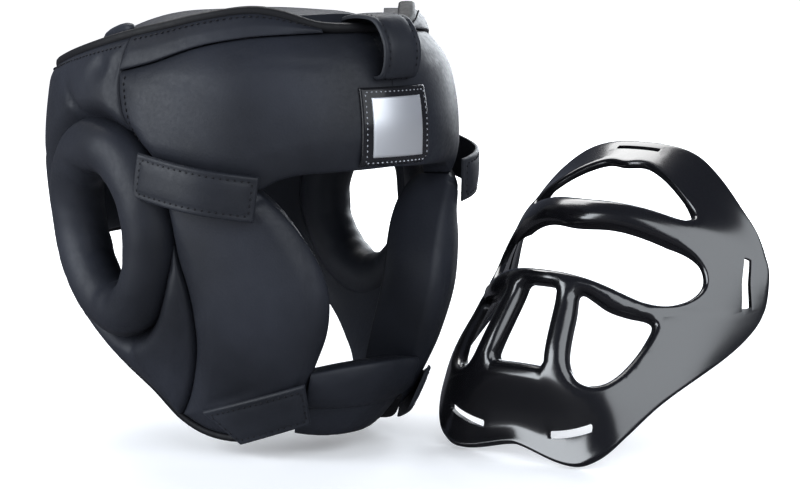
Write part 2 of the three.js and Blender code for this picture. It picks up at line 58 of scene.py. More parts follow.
SIDES = ((1, "right"), (-1, "left"))

# ---------- sizes: mm, degrees, or shares of the height
HEIGHT, HALF_WIDTH, FRONT_REACH, BACK_REACH = 240.0, 112.0, 133.0, 136.0
PAD_T, BROW_T, JAW_T = 24.0, 22.0, 20.0
PAD_R = 14.0
GAP = 0.25
# The ear ring: its middle, half axes, lean and egg shape, then its tube's half sizes and seat.
EAR = dict(back=2.0, down=0.465, ry=42.0, rz=47.0, lean=12.0, egg=0.10, tube=15.5, depth=15.5, inset=10.0,
           flare=0.08)
TAB_W, TAB_T = 25.0, 2.2
SLOT = 2.7
SH = dict(half=95.0, depth=129.0, rise=160.0, wall=3.2, bar=6.5, lobe=8.0)
SH_PLACE = dict(x=186.0, y=-138.6, z=-142.4, turn=-80.0)
# Seams between start and end are moved forward, by up to size degrees.
SHIFT = dict(size=5.5, start=10, rise=40, end=160, fall=60)
VIEW_AZ, VIEW_EL, VIEW_D = -40.0, 8.0, 1400.0
PX_PER_MM, PICTURE_W, SENSOR_W = 1.70, 800, 36
TARGET = Vector((66.66, -55.99, -130.0))

# The head form: share of the height down, and there the shares of half width, front reach and back reach.
HEAD = [(-0.08, 0.72, 0.78, 0.72), (-0.01, 0.83, 0.86, 0.82), (0.08, 0.94, 0.95, 0.93),
        (0.19, 0.99, 1.0, 0.98), (0.31, 1.0, 1.0, 1.0), (0.44, 0.985, 1.0, 0.985), (0.60, 0.94, 1.005, 0.92),
        (0.73, 0.86, 0.945, 0.83), (0.83, 0.765, 0.87, 0.73), (0.97, 0.64, 0.76, 0.62)]
# One degree round the head form, in mm on the flattened form.
PER_DEG = math.pi * (HALF_WIDTH + FRONT_REACH) / 360


def clamp(v, a=0.0, b=1.0):
    return min(max(v, a), b)


def lookup(table, col, at):
    """A column of a table, read smoothly at a value of its first column."""
    last = len(table) - 1
    k = 0
    while k < last - 1 and at > table[k + 1][0]:
        k += 1

    def slope(i):
        a, b = table[max(i - 1, 0)], table[min(i + 1, last)]
        return (b[col] - a[col]) / (b[0] - a[0])
    span = table[k + 1][0] - table[k][0]
    t = clamp((at - table[k][0]) / span)
    t2, t3 = t * t, t * t * t
    return ((2 * t3 - 3 * t2 + 1) * table[k][col] + (t3 - 2 * t2 + t) * span * slope(k)
            + (3 * t2 - 2 * t3) * table[k + 1][col] + (t3 - t2) * span * slope(k + 1))


def on_head(angle, z, offset):
    """The point at an angle from the front and a height, offset mm outside the head form."""
    down = -z / HEIGHT
    c, s = math.cos(angle * RAD), math.sin(angle * RAD)
    a = HALF_WIDTH * lookup(HEAD, 1, down)
    b = FRONT_REACH * lookup(HEAD, 2, down) if c > 0 else BACK_REACH * lookup(HEAD, 3, down)
    nx, ny = -s / a, -c / b
    n = math.hypot(nx, ny)
    return Vector((-a * s + nx / n * offset, -b * c + ny / n * offset, z))


def side_at(y, z):
    """The head form's half width at y and z."""
    down = -z / HEIGHT
    reach = FRONT_REACH * lookup(HEAD, 2, down) if y < 0 else BACK_REACH * lookup(HEAD, 3, down)
    return HALF_WIDTH * lookup(HEAD, 1, down) * math.sqrt(max(1 - (y / reach) ** 2, 0.05))


# ---------- curves
class Curve:
    """A smooth line through points, read by its length."""

    def __init__(self, points, closed=False, steps=24):
        pts = [Vector(p) for p in points]
        n = len(pts)
        out = []
        spans = n if closed else n - 1
        for k in range(spans):
            if closed:
                p0, p1, p2, p3 = pts[(k - 1) % n], pts[k], pts[(k + 1) % n], pts[(k + 2) % n]
            else:
                p0, p1, p2, p3 = pts[max(k - 1, 0)], pts[k], pts[k + 1], pts[min(k + 2, n - 1)]
            for i in range(steps):
                t = i / steps
                v0, v1 = (p2 - p0) * 0.5, (p3 - p1) * 0.5
                out.append((2 * p1 - 2 * p2 + v0 + v1) * t ** 3 + (-3 * p1 + 3 * p2 - 2 * v0 - v1) * t * t
                           + v0 * t + p1)
        out.append(pts[0].copy() if closed else pts[-1].copy())
        self.p = np.array([list(v) for v in out])
        d = np.linalg.norm(np.diff(self.p, axis=0), axis=1)
        self.s = np.concatenate([[0], np.cumsum(d)])
        self.length = float(self.s[-1])

    def at(self, u):
        x = clamp(u) * self.length
        return Vector([float(np.interp(x, self.s, self.p[:, c])) for c in range(self.p.shape[1])])


def shift(a):
    """How far a seam point at this angle is moved forward, in degrees."""
    q = 360 - a if a > 180 else abs(a)
    rise = clamp((q - SHIFT["start"]) / SHIFT["rise"])
    fall = clamp((SHIFT["end"] - q) / SHIFT["fall"])
    s = SHIFT["size"] * rise * rise * (3 - 2 * rise) * fall * fall * (3 - 2 * fall)
    return -s if a > 180 or a < 0 else s


def seam(rows):
    """A seam's line on the flattened head form, in mm."""
    return Curve([((a - shift(a)) * PER_DEG, -d * HEIGHT) for a, d in rows])


# ---------- seams: degrees from the front, share down
rim_line = [(0, -0.002), (20, -0.006), (38, -0.034), (50, -0.041), (64, -0.026), (76, -0.005), (87, 0.014)]
rim_back = [(87, 0.014), (96, 0.032), (108, 0.058), (122, 0.088), (137, 0.110), (154, 0.121)]
brow_top = [(0, 0), (20, 0.003), (38, 0.008), (51, 0.016), (64, 0.036), (77, 0.073), (87, 0.094)]
strip_front = [(20, -0.006), (20, 0.003)]
strip_rear = [(87, 0.014), (87, 0.094)]
brow_seam = [(87, 0.094), (86, 0.14), (83.5, 0.21), (81, 0.283)]
brow_bottom = [(0, 0.308), (21, 0.314), (31, 0.318), (39, 0.33), (46, 0.352), (56, 0.342), (68, 0.315),
               (81, 0.283)]
cheek_top = brow_bottom[4:]
cheek_front = [(46, 0.352), (39, 0.395), (32, 0.45), (26.5, 0.51), (23.3, 0.57), (22.3, 0.63), (23, 0.69),
               (26, 0.75), (29.5, 0.81), (31.5, 0.87)]
cheek_rear = [(81, 0.283), (73, 0.42), (68.5, 0.56), (67.5, 0.66), (69, 0.75), (75, 0.85), (81, 0.908)]
cheek_bottom = [(31.5, 0.87), (42, 0.915), (56, 0.945), (70, 0.942), (81, 0.908)]
side_front = strip_rear + brow_seam[1:] + cheek_rear[1:]
side_bottom = [(81, 0.908), (90, 0.84), (102, 0.775), (114, 0.705), (126, 0.625), (139, 0.562), (154, 0.54)]
back_seam = [(154, 0.121), (154, 0.3), (154, 0.54)]
back_top = [(154, 0.121), (180, 0.126), (206, 0.121)]
back_bottom = [(154, 0.54), (180, 0.535), (206, 0.54)]
back_far = [(206, 0.121), (206, 0.3), (206, 0.54)]
chin_top = [(-29, 0.776), (-14, 0.764), (0, 0.760), (14, 0.764), (29, 0.776)]
chin_bottom = [(-30.8, 0.868), (-14, 0.872), (0, 0.874), (14, 0.872), (30.8, 0.868)]
chin_near = [(-29, 0.776), (-30.1, 0.83), (-30.8, 0.868)]
chin_far = [(29, 0.776), (30.1, 0.83), (30.8, 0.868)]


# ---------- meshes
def make(name, verts, faces, mat, slot, replaced, fill=None, sharp=60):
    """A piece with its points in mm, riding on root, in place of the solid that replaced names."""
    me = bpy.data.meshes.new(name)
    me.from_pydata([tuple(c * MM for c in v) for v in verts], [], faces)
    me.validate()
    me.update()
    vol = 0.0
    for p in me.polygons:
        vs = [me.vertices[i].co for i in p.vertices]
        for k in range(1, len(vs) - 1):
            vol += vs[0].dot(vs[k].cross(vs[k + 1]))
    if vol < 0:
        me.flip_normals()
    me.shade_smooth()
    me.set_sharp_from_angle(angle=sharp * RAD)
    me.materials.append(mat)
    ob = bpy.data.objects.new(name, me)
    bpy.context.scene.collection.objects.link(ob)
    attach(ob, "root")
    if replaced:
        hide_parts(replaced)
    return ob


def shell(nu, nv, outer, inner, us=None, vs=None):
    """Points and faces of a closed body between two grids."""
    us = us or [i / nu for i in range(nu + 1)]
    vs = vs or [j / nv for j in range(nv + 1)]
    nu, nv = len(us) - 1, len(vs) - 1
    pts = [outer(i, j) for j in vs for i in us] + [inner(i, j) for j in vs for i in us]
    w, n = nu + 1, (nu + 1) * (nv + 1)
    f = []
    for j in range(nv):
        for i in range(nu):
            a = j * w + i
            f.append((a, a + w, a + w + 1, a + 1))
            f.append((n + a, n + a + 1, n + a + w + 1, n + a + w))
    for i in range(nu):
        f.append((i, i + 1, n + i + 1, n + i))
        a = nv * w + i
        f.append((a, n + a, n + a + 1, a + 1))
    for j in range(nv):
        a = j * w
        f.append((a, n + a, n + a + w, a + w))
        a = j * w + nu
        f.append((a, a + w, n + a + w, n + a))
    return pts, f


def eased(n, k=0.75):
    """Steps from 0 to 1 that lie closer together near the ends."""
    return [(1 - k) * i / n + k * (0.5 - 0.5 * math.cos(math.pi * i / n)) for i in range(n + 1)]


def mirrored(pts):
    return [Vector((-p.x, p.y, p.z)) for p in pts]


def ring_outline(turn, grow):
    """The ear ring's middle line seen from the side, grown outwards by some mm."""
    a = turn * 2 * math.pi
    narrow = 1 + EAR["egg"] * math.sin(a)
    y0 = (EAR["ry"] + grow) * math.cos(a) * narrow
    z0 = (EAR["rz"] + grow) * math.sin(a)
    c, s = math.cos(EAR["lean"] * RAD), math.sin(EAR["lean"] * RAD)
    return EAR["back"] + y0 * c + z0 * s, -EAR["down"] * HEIGHT + z0 * c - y0 * s


def ear_distance(y, z):
    """Distance outside the middle line of the ear ring, in mm."""
    dy, dz = y - EAR["back"], z + EAR["down"] * HEIGHT
    c, s = math.cos(EAR["lean"] * RAD), math.sin(EAR["lean"] * RAD)
    y0, z0 = dy * c - dz * s, dy * s + dz * c
    ry = EAR["ry"] * (1 + EAR["egg"] * clamp(z0 / EAR["rz"], -1, 1))
    r = math.hypot(y0 / ry, z0 / EAR["rz"])
    return (r - 1) * (EAR["ry"] + EAR["rz"]) / 2


DENTS = []


def dent(angle, down, reach_a, reach_d, depth, turn=0.0):
    """A dent or a fold on the head form: its place, half lengths in mm, depth and turn in degrees."""
    DENTS.append(((angle - shift(angle)) * PER_DEG, -down * HEIGHT, reach_a, reach_d, depth, turn * RAD))


def dents(px, pz):
    """How far all dents together move a point of the flattened form."""
    out = 0.0
    for a, z, ra, rd, depth, turn in DENTS:
        dx, dz = px - a, pz - z
        u = (dx * math.cos(turn) + dz * math.sin(turn)) / ra
        v = (-dx * math.sin(turn) + dz * math.cos(turn)) / rd
        q = u * u + v * v
        if q < 9:
            out -= depth * math.exp(-q)
    return out


# Scale per mm and height in mm of the broad wrinkles, and of the puckers near a seam.
WRINKLES = ((0.022, 0.7), (0.05, 0.35))
PUCKER = dict(scale=0.16, high=0.9, reach=9.0)
# How far from a seam, in mm, each of these reaches its full size.
GROWN = dict(pucker=1.5, wrinkle=4.0, dent=3.0)
# Pads sink towards the ear ring, from this far outside its middle line.
EAR_SINK = dict(start=14.0, reach=12.0, depth=11.0, angles=(20, 160))
SEAM_PINCH, INNER_PINCH, SEED_STEP = 0.25, 2.5, 300


class Pad:
    """A padded panel between four seams, read by (i, j): i from front to rear and j downwards."""

    def __init__(self, top, bottom, front, rear, thickness, drop=5.0, radius=PAD_R, flat_front=False,
                 side=1, seed=0.0, swell=0.0, soft=0.5, inward=0.0, edges=(1, 1, 1, 1)):
        self.seams = [seam(x) for x in (top, bottom, front, rear)]
        run = [c.length for c in self.seams]
        self.w, self.h = max((run[0] + run[1]) / 2, 1), max((run[2] + run[3]) / 2, 1)
        self.thickness, self.drop, self.radius, self.edges = thickness, drop, radius, edges
        self.flat_front, self.side, self.seed = flat_front, side, seed
        self.swell, self.soft, self.inward = swell, soft, inward
        self.cache = {}

    def flat(self, i, j):
        """The place on the flattened head form, blended from the four seams."""
        if self.flat_front:
            u = (i * (self.w - GAP)) / self.w
        else:
            u = (GAP + i * (self.w - 2 * GAP)) / self.w
        v = (GAP + j * (self.h - 2 * GAP)) / self.h
        top, bottom, front, rear = self.seams
        if ("u", u) not in self.cache:
            self.cache["u", u] = (top.at(u), bottom.at(u))
        if ("v", v) not in self.cache:
            self.cache["v", v] = (front.at(v), rear.at(v))
        tu, bu = self.cache["u", u]
        fv, rv = self.cache["v", v]
        p = tu * (1 - v) + bu * v + fv * (1 - u) + rv * u
        p -= (top.at(0) * (1 - u) * (1 - v) + top.at(1) * u * (1 - v) + bottom.at(0) * (1 - u) * v
              + bottom.at(1) * u * v)
        return p

    def puff(self, i, j):
        """How far the pad is pinched: 1 on a seam and 0 where it has its full thickness."""
        near = [(j * self.h, 0), ((1 - j) * self.h, 1), ((1 - i) * self.w, 3)]
        if not self.flat_front:
            near.append((i * self.w, 2))
        out = 0.0
        for d, k in near:
            e = clamp(1 - d / self.radius)
            out = max(out, self.edges[k] * (1 - math.sqrt(max(1 - e * e, 0)) * (1 - SEAM_PINCH * e)))
        return out

    def point(self, i, j, extra=0.0, inner=False):
        p = self.flat(i, j)
        angle = p.x / PER_DEG
        if inner:
            deep = self.inward * (1 - (2 * j - 1) ** 4) * (1 - i) * clamp(i / 0.06) ** 0.5
            return self.mirror(on_head(angle, p.y, -self.thickness + INNER_PINCH * self.puff(i, j) - deep))
        edge = min(j * self.h, (1 - j) * self.h, (1 - i) * self.w)
        if not self.flat_front:
            edge = min(edge, i * self.w)
        q = on_head(angle, p.y, 0)
        off = -self.drop * self.puff(i, j) + self.swell * (1 - (2 * i - 1) ** 2) * (1 - (2 * j - 1) ** 2)
        v = Vector((q.x * self.side + SEED_STEP * self.seed, q.y, q.z))
        wrinkle = sum(noise.noise(v * scale) * high for scale, high in WRINKLES)
        tight = math.exp(-edge / PUCKER["reach"])
        pucker = noise.noise(v * PUCKER["scale"]) * PUCKER["high"] * tight * clamp(edge / GROWN["pucker"])
        off += self.soft * (wrinkle + pucker) * clamp(edge / GROWN["wrinkle"])
        off += dents(p.x, p.y) * clamp(edge / GROWN["dent"])
        if EAR_SINK["angles"][0] < angle < EAR_SINK["angles"][1]:
            d = ear_distance(q.y, q.z) - EAR_SINK["start"]
            if d < EAR_SINK["reach"]:
                off -= EAR_SINK["depth"] * clamp(1 - d / EAR_SINK["reach"]) ** 2
        return self.mirror(on_head(angle, p.y, off + extra))

    def mirror(self, v):
        return Vector((v.x * self.side, v.y, v.z))

    def body(self, nu, nv):
        return shell(nu, nv, lambda i, j: self.point(i, j), lambda i, j: self.point(i, j, inner=True),
                     eased(nu), eased(nv))


# ---------- materials
def principled(name, base, rough, **more):
    m = bpy.data.materials.new(name)
    m.use_nodes = True
    nt = m.node_tree
    b = nt.nodes["Principled BSDF"]
    b.inputs["Base Color"].default_value = (*base, 1)
    b.inputs["Roughness"].default_value = rough
    for key, value in more.items():
        b.inputs[key.replace("_", " ")].default_value = value
    return m, nt, b


def node(nt, kind, **values):
    n = nt.nodes.new(kind)
    for key, value in values.items():
        if key in n.inputs:
            n.inputs[key].default_value = value
        else:
            setattr(n, key, value)
    return n


def texture(nt, kind, output, **values):
    """A texture on the object's own coordinates, as one of its output sockets."""
    co = node(nt, "ShaderNodeTexCoord")
    n = node(nt, kind, **values)
    nt.links.new(co.outputs["Object"], n.inputs["Vector"])
    return n.outputs[output]


def map_range(nt, source, low, high, start=0.0, end=1.0):
    """The socket that maps a source's values from start and end to low and high."""
    n = node(nt, "ShaderNodeMapRange")
    for key, value in (("From Min", start), ("From Max", end), ("To Min", low), ("To Max", high)):
        n.inputs[key].default_value = value
    nt.links.new(source, n.inputs["Value"])
    return n.outputs["Result"]


def bump(nt, shader, height, strength, distance):
    n = node(nt, "ShaderNodeBump", Strength=strength, Distance=distance)
    nt.links.new(height, n.inputs["Height"])
    nt.links.new(n.outputs["Normal"], shader.inputs["Normal"])


# The grain's scales, its bump, and how far tint and roughness vary over the middle of the noise's range.
GRAIN = dict(fine=620.0, soft=420.0, broad=14.0, bump=0.0004, strength=0.09, tint=0.35, rough=0.06)
MID = (0.3, 0.7)


def leather(name, base, rough, grain=1.0):
    m, nt, b = principled(name, base, rough)
    b.inputs["Specular IOR Level"].default_value = 0.22
    fine = texture(nt, "ShaderNodeTexVoronoi", "Distance", Scale=GRAIN["fine"])
    soft = texture(nt, "ShaderNodeTexNoise", "Fac", Scale=GRAIN["soft"], Detail=3.0)
    broad = texture(nt, "ShaderNodeTexNoise", "Fac", Scale=GRAIN["broad"], Detail=3.0)
    add = node(nt, "ShaderNodeMath", operation="ADD")
    nt.links.new(fine, add.inputs[0])
    nt.links.new(soft, add.inputs[1])
    bump(nt, b, add.outputs[0], GRAIN["strength"] * grain, GRAIN["bump"])
    tint = node(nt, "ShaderNodeVectorMath", operation="SCALE")
    tint.inputs[0].default_value = base
    nt.links.new(map_range(nt, broad, 1 - GRAIN["tint"], 1 + GRAIN["tint"], *MID), tint.inputs["Scale"])
    nt.links.new(tint.outputs["Vector"], b.inputs["Base Color"])
    rougher = map_range(nt, soft, rough - GRAIN["rough"], rough + GRAIN["rough"], *MID)
    nt.links.new(rougher, b.inputs["Roughness"])
    return m


LEATHER = leather("pad_leather_look", (0.0135, 0.0150, 0.0205), 0.5)
TAB = leather("tab_leather_look", (0.0135, 0.0150, 0.0200), 0.48)
BINDING = leather("binding_look", (0.004, 0.004, 0.0055), 0.6)
THREAD = leather("thread_look", (0.006, 0.006, 0.008), 0.6, grain=0.5)
PALE_THREAD = leather("badge_thread_look", (0.32, 0.33, 0.36), 0.5, grain=0.5)
GLOSS_FRAME = leather("badge_frame_look", (0.012, 0.012, 0.014), 0.16, grain=0.5)


def brushed(name):
    m, nt, b = principled(name, (0.62, 0.63, 0.66), 0.34, Metallic=0.75)
    spots = texture(nt, "ShaderNodeTexNoise", "Fac", Scale=22.0, Detail=2.0)
    nt.links.new(map_range(nt, spots, 0.2, 0.42), b.inputs["Roughness"])
    bump(nt, b, spots, 0.25, 0.0008)
    return m


def moulded(name):
    m, nt, b = principled(name, (0.004, 0.004, 0.005), 0.13, IOR=1.75)
    spots = texture(nt, "ShaderNodeTexNoise", "Fac", Scale=9.0, Detail=1.0)
    nt.links.new(map_range(nt, spots, 0.15, 0.21), b.inputs["Roughness"])
    return m


SILVER = brushed("badge_film_look")
PLASTIC = moulded("shield_plastic_look")


# ---------- stitches
class Thread:
    """Collects stitches, and makes them one object at the end."""

    def __init__(self, name, mat, slot, width=0.55, length=2.6, gap=1.1):
        self.name, self.mat, self.slot = name, mat, slot
        self.width, self.length, self.gap = width, length, gap
        self.verts, self.faces = [], []

    def line(self, pts, normals, lead=0.12, shortest=0.3, sunk=0.35, high=0.25, sides=6):
        """Stitches along a line. Each is a spindle whose ends are sunk in the leather."""
        c = Curve(pts)
        ups = np.array([list(n) for n in normals])
        us = np.linspace(0, 1, len(ups))
        n = max(int(c.length / (self.length + self.gap)), 1)
        for k in range(n):
            start = (k + lead) / n
            a, b = c.at(start), c.at(start + self.length / c.length)
            if (b - a).length < shortest:
                continue
            up = Vector([float(np.interp(start, us, ups[:, q])) for q in range(3)]).normalized()
            side = (b - a).normalized().cross(up).normalized()
            base = len(self.verts)
            mid = (a + b) / 2 + up * high
            self.verts += [a - up * sunk, b - up * sunk]
            for q in range(sides):
                t = q * 2 * math.pi / sides
                self.verts.append(mid + side * self.width * math.cos(t) + up * self.width * 0.75 * math.sin(t))
            for q in range(sides):
                i, j = base + 2 + q, base + 2 + (q + 1) % sides
                self.faces += [(base, i, j), (base + 1, j, i)]

    def done(self):
        make(self.name, self.verts, self.faces, self.mat, self.slot, None, sharp=80)


thread = Thread("stitches", THREAD, "edge_binding")
pale = Thread("badge_stitches", PALE_THREAD, "patch_film", width=0.42, length=1.7, gap=1.2)


def stitch_pad(pad, path, lift=0.35):
    """A stitched line on a pad along a list of (i, j)."""
    pts, nrm = [], []
    for i, j in path:
        p = pad.point(i, j, lift)
        pts.append(p)
        nrm.append((pad.point(i, j, lift + 2) - p).normalized())
    thread.line(pts, nrm)


# ---------- dents and folds, as dent() takes them
for row in ((95, 0.085, 8, 6, 3.2, 10), (89, 0.10, 4, 11, 1.6, 0), (105, 0.176, 10, 1.8, 3.4, 45),
        (96, 0.285, 12, 1.8, 1.4, 0), (112, 0.33, 3, 22, 1.6, 12), (120, 0.5, 3, 26, 1.3, 8),
        (98, 0.69, 14, 2.2, 1.6, 30), (92, 0.74, 3, 14, 1.8, -15), (84, 0.62, 3, 20, 1.5, 5),
        (40, 0.20, 16, 20, 0.8, 0), (64, 0.12, 18, 3, 0.8, 8), (30, 0.07, 20, 2.2, 0.7, 2),
        (50, 0.44, 22, 10, 1.0, 15), (46, 0.375, 10, 2.0, 1.5, -30), (58, 0.84, 16, 2.6, 1.2, -18),
        (30, 0.60, 3, 18, 0.8, 0), (135, 0.30, 20, 2.4, 1.1, 15), (140, 0.44, 16, 2.0, 0.9, -10)):
    dent(*row)


# The cutter: how far it grows past the ring's middle line, and its ends as shares of the half width.
EAR_CUT = dict(grow=8.0, outer=1.3, inner=0.35, corners=64)


def ear_cut(ob):
    """Takes the ear opening out of a pad."""
    n = EAR_CUT["corners"]
    side = 1 if ob.data.vertices[0].co.x < 0 else -1
    verts = []
    for x in (-HALF_WIDTH * EAR_CUT["outer"], -HALF_WIDTH * EAR_CUT["inner"]):
        for k in range(n):
            y, z = ring_outline(k / n, EAR_CUT["grow"])
            verts.append(tuple(Vector((x * side, y, z)) * MM))
    faces = [tuple(range(n)), tuple(reversed(range(n, 2 * n)))]
    faces += [(k, n + k, n + (k + 1) % n, (k + 1) % n) for k in range(n)]
    me = bpy.data.meshes.new("cutter")
    me.from_pydata(verts, [], faces)
    if sum(me.vertices[p.vertices[0]].co.dot(p.normal) * p.area for p in me.polygons) < 0:
        me.flip_normals()
    tool = bpy.data.objects.new("cutter", me)
    bpy.context.scene.collection.objects.link(tool)
    mod = ob.modifiers.new("ear", "BOOLEAN")
    mod.operation, mod.solver, mod.object = "DIFFERENCE", "EXACT", tool
    new = bpy.data.meshes.new_from_object(ob.evaluated_get(bpy.context.evaluated_depsgraph_get()))
    ob.modifiers.remove(mod)
    old = ob.data
    ob.data = new
    bpy.data.meshes.remove(old)
    bpy.data.objects.remove(tool)


def cushion(solid, mesh, fill):
    """A padded leather piece in place of one solid."""
    return make(solid + "_look", *mesh, LEATHER, "pad_leather", solid, fill=fill)


def steps(start, run, count):
    return [start + run * k / count for k in range(count + 1)]


# ---------- headgear pads
for side, word in SIDES:
    seed = 0.0 if side == 1 else 3.7
    brow = Pad(brow_top, brow_bottom, [(0, 0), (0, 0.308)], brow_seam, BROW_T, drop=6, flat_front=True,
               side=side, seed=seed, edges=(0.9, 1, 1, 0.5))
    strip = Pad(rim_line[1:], brow_top[1:], strip_front, strip_rear, BROW_T, drop=3.0, radius=9, side=side,
                seed=seed + 1, edges=(1, 1, 1, 0.7))
    cheek = Pad(cheek_top, cheek_bottom, cheek_front, cheek_rear, PAD_T, drop=8, radius=16, side=side,
                seed=seed + 2, swell=1.5, inward=15)
    panel = Pad(rim_back, side_bottom, side_front, back_seam, JAW_T, drop=4, radius=10, side=side,
                seed=seed + 3, soft=0.9)
    for key, pad, nu, nv, cut in (("brow_pad", brow, 90, 44, True), ("upper_strip", strip, 70, 16, False),
                                  ("cheek_pad", cheek, 50, 80, True), ("side_panel", panel, 72, 90, True)):
        ob = cushion(f"{key}_{word}", pad.body(nu, nv), 0.85)
        if cut:
            ear_cut(ob)
    # stitched lines: the brow's rear and front ends, the top of the side panel, the top of the strip
    stitch_pad(brow, [(1 - 0.030, j) for j in steps(0.06, 0.88, 16)])
    stitch_pad(brow, [(0.018, j) for j in steps(0.01, 0.2, 6)])
    stitch_pad(panel, [(i, 0.022) for i in steps(0.02, 0.96, 20)])
    stitch_pad(strip, [(i, 0.13) for i in steps(0.05, 0.93, 20)])

back = Pad(back_top, back_bottom, back_seam, back_far, JAW_T, drop=4, radius=10, seed=9.0, soft=0.9)
cushion("back_panel", back.body(60, 50), 0.85)
stitch_pad(back, [(i, 0.04) for i in steps(0.02, 0.96, 14)])

chin = Pad(chin_top, chin_bottom, chin_near, chin_far, JAW_T, drop=5, radius=9, seed=5.0, soft=0.6,
           edges=(1, 1, 0.4, 0.4))
cushion("chin_pad", chin.body(44, 22), 0.85)

FLAP = dict(angle=31.0, top=0.862, bottom=0.950, top_in=5.0, bottom_in=12.0, t=6.0, long=19, edge=4, round=1.6,
            corner=0.12, wrinkle=0.5)


def flap_point(i, j, inward):
    """A point of the chin flap, on its outside where inward is 0."""
    a = FLAP["angle"] * (2 * i - 1)
    down = FLAP["top"] + (FLAP["bottom"] - FLAP["top"]) * j * (1 - FLAP["corner"] * abs(2 * i - 1) ** 3)
    e = clamp(1 - min(j, 1 - j) * FLAP["long"] / FLAP["edge"]) ** 2 * FLAP["round"]
    base = -FLAP["top_in"] - (FLAP["bottom_in"] - FLAP["top_in"]) * j - inward
    if inward:
        return on_head(a, -down * HEIGHT, base + e)
    wrinkle = FLAP["wrinkle"] * noise.noise(Vector((a * 0.25, down * 40, 4)))
    return on_head(a, -down * HEIGHT, base - e + wrinkle)


cushion("chin_flap", shell(44, 14, lambda i, j: flap_point(i, j, 0),
                           lambda i, j: flap_point(i, j, FLAP["t"])), 0.5)

# ---------- ear rings
def ear_ring(side, n=120, m=40):
    """The padded ring: n sections of m points, wrinkled most on the inside of the opening."""
    verts, faces = [], []
    for k in range(n):
        cy, cz = ring_outline(k / n, 0)
        seat = side_at(cy, cz) - EAR["inset"] - EAR["flare"] * (cy - EAR["back"])
        mid = Vector((seat, cy, cz))
        for s in range(m):
            t = s / m * 2 * math.pi
            y, z = ring_outline(k / n, EAR["tube"] * math.cos(t))
            v = Vector((seat + EAR["depth"] * math.sin(t), y, z))
            inner = 0.3 + 0.7 * clamp(-math.cos(t))
            wrinkle = noise.noise(Vector((k / n * 26, math.cos(t) * 1.2, side))) * inner
            wrinkle += noise.noise(v * 0.06) * 0.5
            v += (v - mid).normalized() * wrinkle
            verts.append(Vector((-v.x * side, v.y, v.z)))
            q, r = (k + 1) % n * m, (s + 1) % m
            faces.append((k * m + s, q + s, q + r, k * m + r))
    return verts, faces


for side, word in SIDES:
    cushion(f"ear_ring_{word}", ear_ring(side), 0.9)

# ---------- crown: angle, then edge and middle heights
CROWN = [(60, 0.010, 0.034), (83, -0.028, 0.0375), (104, -0.070, 0.030), (125, -0.105, 0.002),
         (145, -0.130, -0.060), (174, -0.138, -0.120)]
CROWN_INSET, ROLL_R, ROLL_LIFT = 23.5, 4.6, 2.4
CROWN_T = 9.0


def crown_point(i, j, drop=0.0):
    """A point of the crown pad, from side to side by i and to the rear by j."""
    a = CROWN[0][0] + (CROWN[-1][0] - CROWN[0][0]) * j
    edge, middle = HEIGHT * lookup(CROWN, 1, a), HEIGHT * lookup(CROWN, 2, a)
    s = on_head(a, edge, -CROWN_INSET)
    x = 2 * i - 1
    z = middle + (edge - middle) * abs(x) ** 3.5
    v = Vector((-x * s.x, s.y, z - drop))
    if not drop:
        v.z += 0.8 * noise.noise(v * 0.03)
        near = clamp(1 - min(i, 1 - i) * 20) ** 2 + clamp(1 - j * 14) ** 2
        v.z -= 2.0 * near
    return v


cushion("crown_pad", shell(60, 60, crown_point, lambda i, j: crown_point(i, j, CROWN_T), eased(60)), 0.8)


def sweep(path, normals, section, closed=False, taper=0, tip=0.15):
    """A tube whose section is (out, side) pairs, carried along points with their outward normals."""
    n, m = len(path), len(section)
    verts, faces = [], []
    for k in range(n):
        a = path[(k - 1) % n] if closed or k else path[0]
        b = path[(k + 1) % n] if closed or k < n - 1 else path[-1]
        d = (b - a).normalized()
        out = normals[k] - d * normals[k].dot(d)
        out.normalize()
        across = d.cross(out)
        near = clamp(min(k, n - 1 - k) / taper) if taper else 1
        w = tip + (1 - tip) * math.sqrt(1 - (1 - near) ** 2)
        for o, s in section:
            verts.append(path[k] + out * o * w + across * s * w)
    for k in range(n if closed else n - 1):
        q = (k + 1) % n
        for s in range(m):
            t = (s + 1) % m
            faces.append((k * m + s, q * m + s, q * m + t, k * m + t))
    if not closed:
        faces.append(tuple(range(m)))
        faces.append(tuple(reversed(range((n - 1) * m, n * m))))
    return verts, faces


def oval(ro, rs, m, power=1.0):
    """A section (out, side) with half sizes ro and rs. A power below 1 squares it."""
    turns = [2 * math.pi * k / m for k in range(m)]
    return [(ro * math.copysign(abs(math.cos(a)) ** power, math.cos(a)),
             rs * math.copysign(abs(math.sin(a)) ** power, math.sin(a))) for a in turns]


ROLL_ROUTE = [(0.1, 0.4), (0.1, 0.58), (0.13, 0.72), (0.26, 0.83), (0.5, 0.87)]
half = [crown_point(i, j) + Vector((0, 0, ROLL_LIFT)) for i, j in ROLL_ROUTE]
roll = Curve(half + mirrored(reversed(half[:-1])))
path = [roll.at(u) for u in steps(0, 1, 90)]
cushion("crown_roll", sweep(path, [Vector((0, 0, 1))] * len(path), oval(ROLL_R, ROLL_R, 14), taper=7), 0.8)

# ---------- bindings
top_loop = rim_line + rim_back[1:] + [back_top[1]]
low_loop = cheek_bottom + side_bottom[1:] + [back_bottom[1]]


def around_back(rows):
    return [(360 - a, d) for a, d in reversed(rows[:-1])]


